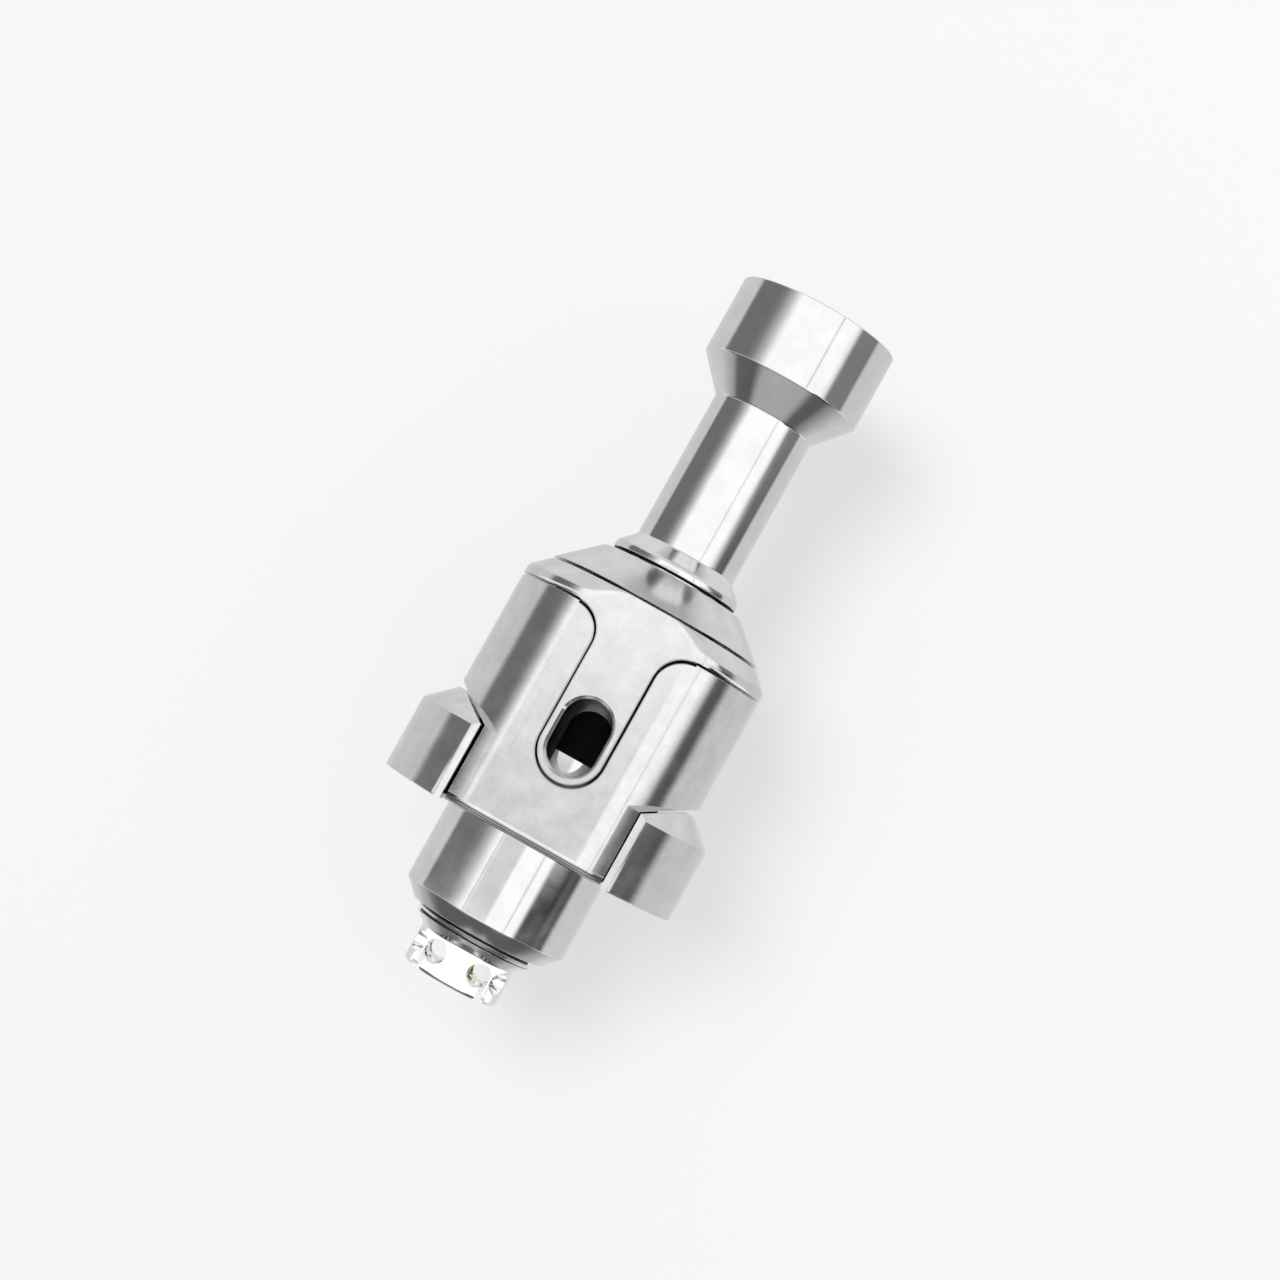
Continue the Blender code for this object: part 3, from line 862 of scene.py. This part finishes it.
class BRIDGE_OT_base(bpy.types.Operator):
    """Polished lower barrel, its spigot, seal grooves, deck and gate."""

    bl_idname = "bridge.base"
    bl_label = "Base"

    def execute(self, context):
        size = sizes()
        low = size.base_foot
        ledge = SLEEVE_LOW.z + 0.1
        spigot = 4.0
        groove_floor = 3.62
        deck = 10.2
        skirt_bore = 3.3
        thread_bore, thread_end = 3.25, 6.0
        seat_bore, seat_end = 3.0, 7.2
        airway = 1.35
        base = lathe("base_body", [
            (spigot, BASE_HIGH.z),
            *groove(spigot, groove_floor, BASE_HIGH.z - 1.05),
            *groove(spigot, groove_floor, 10.75),
            (spigot, ledge),
            (BASE_HIGH.x, ledge),
            (BASE_HIGH.x, low + size.base_chamfer),
            (BASE_HIGH.x - size.base_chamfer, low),
            (thread_bore, low),
            (thread_bore, thread_end),
            (seat_bore, thread_end),
            (seat_bore, seat_end),
            (airway, seat_end),
            (airway, deck),
            (skirt_bore, deck),
            (skirt_bore, BASE_HIGH.z),
        ], edge=0.05)
        near, far, head = -size.window_near, size.window_far, size.window_top
        bend = (far - near) / 2 - 0.02
        gate = slab("gate", [
            (near, size.gate_edge), (far, size.gate_edge),
            *arc(far - bend, head - bend, bend, 0, 90, 12), *arc(near + bend, head - bend, bend, 90, 180, 12),
        ], -REACH, 0.0, upright=True)
        holes = [rod(f"air_hole_{side}", 0.6, (0, side * 2.3, deck - 1), 3) for side in (-1, 1)]
        holes.append(rod("post_hole", 0.55, (-2.15, 0, deck - 0.2), 1))
        combine(base, [gate, *holes])

        # painted shade: the bore above the thread gets the near-black material, and the window's faces the
        # dark scored steel
        def inside(radius, height):
            if radius < spigot - 0.1 and height > thread_end:
                return PAINTED_SHADE
            return SCORED_SHADE if height > size.gate_edge and radius < spigot + 0.1 else AS_FINISHED

        complete(base, "base", "polished_steel", inside=inside)
        return {"FINISHED"}


class BRIDGE_OT_air_pin(bpy.types.Operator):
    """Crown with cross holes and key slots, its cone and its thread."""

    bl_idname = "bridge.air_pin"
    bl_label = "Air pin"

    def execute(self, context):
        size = sizes()
        low = PIN_LOW.z
        crown_top = low + size.crown_height
        cone_top = crown_top + size.cone_height
        bore = 1.5
        chamfer = 0.12
        pin = lathe("air_pin_body", [
            (size.thread_root, PIN_HIGH.z),
            *groove(size.thread_root, 2.8, PIN_HIGH.z - 0.6),
            (size.thread_root, cone_top),
            (PIN_HIGH.x, cone_top),
            (size.crown_radius, crown_top),
            (size.crown_radius, low + chamfer),
            (size.crown_radius - chamfer, low),
            (bore, low),
            (bore, PIN_HIGH.z),
        ], edge=0.04)
        height = low + 0.6 * size.crown_height
        stagger = 0.02         # keeps the holes that cross from sharing an edge, which spoils the cut
        radius = size.cross_hole_radius
        cutters = []
        for side in (1, -1):
            offset = side * size.cross_hole_offset
            cutters.append(rod(f"along_y_{side}", radius, (offset, 0, height), 4, "Y"))
            cutters.append(rod(f"along_x_{side}", radius, (0, offset, height + stagger), 4, "X"))
            cutters.append(block(
                f"key_slot_{side}", (-REACH, -0.35, low - 1), (REACH, 0.35, low + 0.3),
                turn=side * math.pi / 4,
            ))
        combine(pin, cutters)

        # painted shade: the bore above the cone gets the near-black material
        def inside(radius, height):
            return PAINTED_SHADE if radius < size.thread_root + NEAR / 2 and height > cone_top else AS_FINISHED

        complete(pin, "air_pin", "bright_steel", inside=inside)
        thread = helix_thread("air_pin_thread", cone_top + 0.1, PIN_HIGH.z - 1.0)
        complete(thread, "air_pin", "bright_steel", replaces=False)
        return {"FINISHED"}


def helix_thread(name, low, high):
    """A ridge that climbs round the thread's root, made by a node tree."""
    size = sizes()
    tree = bpy.data.node_groups.new("Helix Thread", "GeometryNodeTree")
    for label in ("Radius", "Pitch", "Depth", "Height"):
        socket = tree.interface.new_socket(label, in_out="INPUT", socket_type="NodeSocketFloat")
        socket.subtype = "DISTANCE"
    tree.interface.new_socket("Material", in_out="INPUT", socket_type="NodeSocketMaterial")
    tree.interface.new_socket("Geometry", in_out="OUTPUT", socket_type="NodeSocketGeometry")
    nodes, links = tree.nodes, tree.links
    given = nodes.new("NodeGroupInput")
    turns = nodes.new("ShaderNodeMath")
    turns.operation = "DIVIDE"
    spiral = nodes.new("GeometryNodeCurveSpiral")
    spiral.inputs["Resolution"].default_value = 96
    ridge = nodes.new("GeometryNodeCurvePrimitiveCircle")
    ridge.inputs["Resolution"].default_value = 6
    swept = nodes.new("GeometryNodeCurveToMesh")
    swept.inputs["Fill Caps"].default_value = True
    real = nodes.new("GeometryNodeRealizeInstances")
    dressed = nodes.new("GeometryNodeSetMaterial")
    out = nodes.new("NodeGroupOutput")
    links.new(given.outputs["Height"], turns.inputs[0])
    links.new(given.outputs["Pitch"], turns.inputs[1])
    links.new(turns.outputs[0], spiral.inputs["Rotations"])
    links.new(given.outputs["Radius"], spiral.inputs["Start Radius"])
    links.new(given.outputs["Radius"], spiral.inputs["End Radius"])
    links.new(given.outputs["Height"], spiral.inputs["Height"])
    links.new(given.outputs["Depth"], ridge.inputs["Radius"])
    links.new(spiral.outputs["Curve"], swept.inputs["Curve"])
    links.new(ridge.outputs["Curve"], swept.inputs["Profile Curve"])
    links.new(swept.outputs["Mesh"], real.inputs["Geometry"])
    links.new(real.outputs["Geometry"], dressed.inputs["Geometry"])
    links.new(given.outputs["Material"], dressed.inputs["Material"])
    links.new(dressed.outputs["Geometry"], out.inputs["Geometry"])
    piece = add_piece(name, bpy.data.meshes.new(name))
    step = piece.modifiers.new("thread", "NODES")
    step.node_group = tree
    depth = size.thread_crest - size.thread_root
    ridge_radius = 0.6 * depth
    values = {
        "Radius": (size.thread_crest - ridge_radius) * MM,
        "Pitch": size.thread_pitch * MM,
        "Depth": ridge_radius * MM,
        "Height": (high - low) * MM,
        "Material": MATERIALS["bright_steel"],
    }
    for item in tree.interface.items_tree:
        if item.in_out == "INPUT":
            step[item.identifier] = values[item.name]
    settle_modifiers(piece)
    piece.data.transform(Matrix.Translation((0.0, 0.0, low * MM)))
    return piece


class BRIDGE_OT_contact(bpy.types.Operator):
    """The positive contact seen inside the crown."""

    bl_idname = "bridge.contact"
    bl_label = "Contact"

    def execute(self, context):
        low = CONTACT_LOW.z
        shaft = 0.65
        contact = lathe("contact_pin", [
            (0.0, CONTACT_HIGH.z),
            (shaft, CONTACT_HIGH.z),
            (shaft, low + 0.45),
            (CONTACT_HIGH.x, low + 0.35),
            (CONTACT_HIGH.x, low + 0.1),
            (0.8, low),
            (0.0, low),
        ], steps=FINE_TURN_STEPS, edge=0.03)
        complete(contact, "positive_pin", "brass")
        return {"FINISHED"}


class BRIDGE_OT_inside(bpy.types.Operator):
    """Seals, posts, insulators, clamps and jets, which keep their frame shapes."""

    bl_idname = "bridge.inside"
    bl_label = "Inside pieces"

    def execute(self, context):
        slots = {entry["node"]: entry["material_slot"] for entry in frame["record"]["subparts"]}
        for name, node in frame["nodes"].items():
            node.data.materials.clear()
            node.data.materials.append(MATERIALS[slots[name]])
        return {"FINISHED"}


class BRIDGE_OT_stage(bpy.types.Operator):
    """Pale sweep, soft light and the camera."""

    bl_idname = "bridge.stage"
    bl_label = "Stage"

    def execute(self, context):
        self.sweep()
        self.surroundings()
        self.shadow_light()
        self.camera()
        return {"FINISHED"}

    @staticmethod
    def sweep():
        """A floor that curves up into a backdrop, seen only from its front."""
        floor = -32.0
        back = 12.0
        bend = 24.0
        wide = 900.0
        matt_share = 0.45
        section = [(-wide, floor)] + arc(back - bend, floor + bend, bend, -90, 0, 24) + [(back, wide)]
        shape = bmesh.new()
        rails = [
            [shape.verts.new((side * wide * MM, y * MM, z * MM)) for y, z in section] for side in (-1, 1)
        ]
        for i in range(len(section) - 1):
            shape.faces.new((rails[0][i], rails[1][i], rails[1][i + 1], rails[0][i + 1]))
        mesh = bpy.data.meshes.new("sweep")
        shape.to_mesh(mesh)
        shape.free()
        mesh.shade_smooth()
        sweep = add_piece("sweep", mesh)
        sweep.visible_glossy = False
        made, graph = new_material("studio_paper")
        matt = graph.node("ShaderNodeBsdfDiffuse", sockets={"Color": opaque(finish().studio)})
        raised = graph.fade(graph.parts(graph.place())[2], floor * MM, (floor + bend) * MM)
        light = graph.blend(raised, opaque(finish().backdrop), opaque(finish().glow))
        glow = graph.node("ShaderNodeEmission", sockets={"Color": light})
        paper = graph.node("ShaderNodeMixShader", sockets={0: 1.0 - raised * matt_share, 1: matt, 2: glow})
        clear = graph.node("ShaderNodeBsdfTransparent")
        behind = graph.node("ShaderNodeNewGeometry", output=6)
        seen = graph.node("ShaderNodeMixShader", sockets={0: behind, 1: paper, 2: clear})
        graph.node("ShaderNodeOutputMaterial", sockets={"Surface": seen})
        mesh.materials.append(made)

    @staticmethod
    def surroundings():
        """Light by heading from the camera's side and by rise, both in degrees: broad white light in
        front, dark flags at the sides, grey walls behind, a light ceiling that is darker overhead, and a
        dark floor."""
        world = bpy.data.worlds.new("studio")
        world.use_nodes = True
        world.node_tree.nodes.clear()
        graph = Graph(world.node_tree)
        bpy.context.scene.world = world
        fade, between = graph.fade, graph.between
        across, ahead, up = graph.parts(graph.node("ShaderNodeTexCoord", output=0))
        heading = across.maths("ARCTAN2", ahead * -1.0) * math.degrees(1) - VIEW_TURN
        rise = up.maths("ARCSINE") * math.degrees(1)
        lit = graph.node("ShaderNodeValToRGB", {"stops": [
            ((degrees + 180) / 360, level) for degrees, level in (
                (-180, 0.56), (-107, 0.56), (-101, 0.15), (-68, 0.15), (-58, 0.20), (-46, 0.46), (-33, 1.0),
                (50, 1.0), (62, 0.62), (72, 0.12), (90, 0.07), (98, 0.56), (180, 0.56),
            )
        ]}, {0: (heading + 180.0) / 360.0})
        right_seam = between(heading, 28.9, 30.7, 0.3)
        left_seam = between(heading, -31.9, -30.3, 0.3) * (1.0 - fade(rise, -2.4, -1.4))
        upper_flag = between(heading, 60, 92, 4) * fade(rise, 4, 9)
        lower_flag = between(heading, 45, 77, 4) * (1.0 - fade(rise, -2.7, -1.9))
        front_shade = between(heading, -29, 2, 2) * between(rise, -8, 0.5, 4)
        low_fill = between(rise, -12, -5.5, 0.2) * between(heading, -120, 120, 10)
        ceiling = fade(rise, 18, 38)
        overhead = fade(rise, 60, 78)
        floor = 1.0 - fade(rise, -58, -24)
        floor_behind = (1.0 - between(heading, -142, 142, 8)) * between(rise, -81, -36, 3)
        floor_ahead = between(heading, -95, 95, 10) * between(rise, -80, -61, 3)
        for patch, level in (
            (right_seam, 0.5), (upper_flag, 0.19), (left_seam, 0.4), (lower_flag, 0.025),
            (front_shade, 0.62), (low_fill, 0.95), (ceiling, 0.66), (overhead, 0.42), (floor, 0.10),
            (floor_behind, 0.38), (floor_ahead, 0.38),
        ):
            lit = graph.blend(patch, lit, grey(level))
        around = graph.node("ShaderNodeBackground", sockets={"Color": lit, "Strength": 1.3})
        seen = graph.node("ShaderNodeBackground", sockets={
            "Color": opaque(finish().backdrop), "Strength": 1.0,
        })
        direct = graph.node("ShaderNodeLightPath", output=0)
        both = graph.node("ShaderNodeMixShader", sockets={0: direct, 1: around, 2: seen})
        graph.node("ShaderNodeOutputWorld", sockets={"Surface": both})

    @staticmethod
    def shadow_light():
        """A wide, soft light from the upper left that lays the shadow on the backdrop."""
        lamp = bpy.data.lights.new("shadow_light", "SUN")
        lamp.energy = 2.3
        lamp.angle = math.radians(24)
        placed = bpy.data.objects.new("shadow_light", lamp)
        placed.rotation_mode = "QUATERNION"
        placed.rotation_quaternion = Vector((0.36, 1.0, -0.12)).to_track_quat("-Z", "Y")
        placed.visible_glossy = False
        bpy.context.scene.collection.objects.link(placed)

    @staticmethod
    def camera():
        lens = bpy.data.cameras.new("camera")
        lens.lens = 70.5
        lens.sensor_width = 36.0
        lens.clip_start = 0.001
        placed = bpy.data.objects.new("camera", lens)
        turn = math.radians(VIEW_TURN)
        place = Vector((
            CAMERA_DISTANCE * math.sin(turn), -CAMERA_DISTANCE * math.cos(turn), CAMERA_HEIGHT
        )) * MM
        aim = Vector((0.0, 0.0, AIM_HEIGHT)) * MM
        roll = Matrix.Rotation(math.radians(VIEW_ROLL), 4, "Z")
        placed.matrix_world = (
            Matrix.Translation(place) @ (aim - place).to_track_quat("-Z", "Y").to_matrix().to_4x4() @ roll
        )
        bpy.context.scene.collection.objects.link(placed)
        bpy.context.scene.camera = placed


class BRIDGE_PT_panel(bpy.types.Panel):
    """Lists the pieces in the sidebar."""

    bl_idname = "BRIDGE_PT_panel"
    bl_label = "Atomiser Bridge"
    bl_space_type = "VIEW_3D"
    bl_region_type = "UI"
    bl_category = "Bridge"

    def draw(self, context):
        for operator in OPERATORS:
            self.layout.operator(operator.bl_idname)
        for group in (context.scene.bridge_sizes, context.scene.bridge_finish):
            column = self.layout.column()
            for name in group.__annotations__:
                column.prop(group, name)


OPERATORS = (
    BRIDGE_OT_inside,
    BRIDGE_OT_chimney,
    BRIDGE_OT_top_cap,
    BRIDGE_OT_chamber,
    BRIDGE_OT_sleeve,
    BRIDGE_OT_locking_ring,
    BRIDGE_OT_base,
    BRIDGE_OT_air_pin,
    BRIDGE_OT_contact,
    BRIDGE_OT_stage,
)
CLASSES = (BridgeSizes, BridgeFinish, *OPERATORS, BRIDGE_PT_panel)


def register():
    for item in CLASSES:
        bpy.utils.register_class(item)
    bpy.types.Scene.bridge_sizes = PointerProperty(type=BridgeSizes)
    bpy.types.Scene.bridge_finish = PointerProperty(type=BridgeFinish)


def unregister():
    del bpy.types.Scene.bridge_finish
    del bpy.types.Scene.bridge_sizes
    for item in reversed(CLASSES):
        bpy.utils.unregister_class(item)


def main():
    register()
    MATERIALS.update(make_materials())
    for operator in OPERATORS:
        group, name = operator.bl_idname.split(".")
        getattr(getattr(bpy.ops, group), name)()
    bpy.context.scene.view_settings.view_transform = "Standard"


if __name__ == "__main__":
    main()
